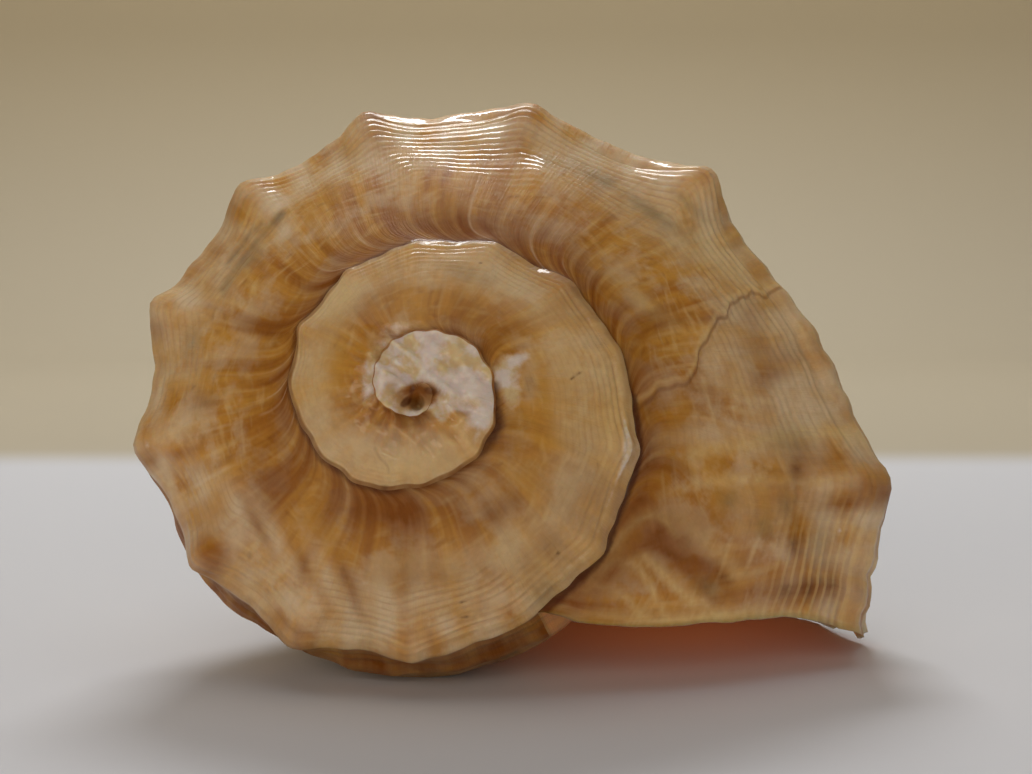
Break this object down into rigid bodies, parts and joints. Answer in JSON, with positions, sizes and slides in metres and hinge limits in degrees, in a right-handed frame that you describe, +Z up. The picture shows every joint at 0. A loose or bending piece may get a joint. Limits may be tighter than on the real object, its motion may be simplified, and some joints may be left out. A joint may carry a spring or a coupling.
{
  "type": "rapa whelk shell",
  "caption": "Broad spiral sea snail shell with a low stepped spire, knobbed shoulder, wide open mouth and short siphonal canal, lying mouth down.",
  "frame": {"origin": "middle of the bounding box, at the lowest point the shell rests on", "axes": "+Z up as the shell lies mouth down, +Y from the apex towards the siphonal canal, +X towards the outer lip"},
  "size_m": [0.0706, 0.0758, 0.0531],
  "materials": {
    "aged_calcite_shell": "glossy, caramel brown with a pale worn crown"
  },
  "bodies": {
    "root": {"whelk_shell": "aged_calcite_shell"}
  },
  "joints": []
}
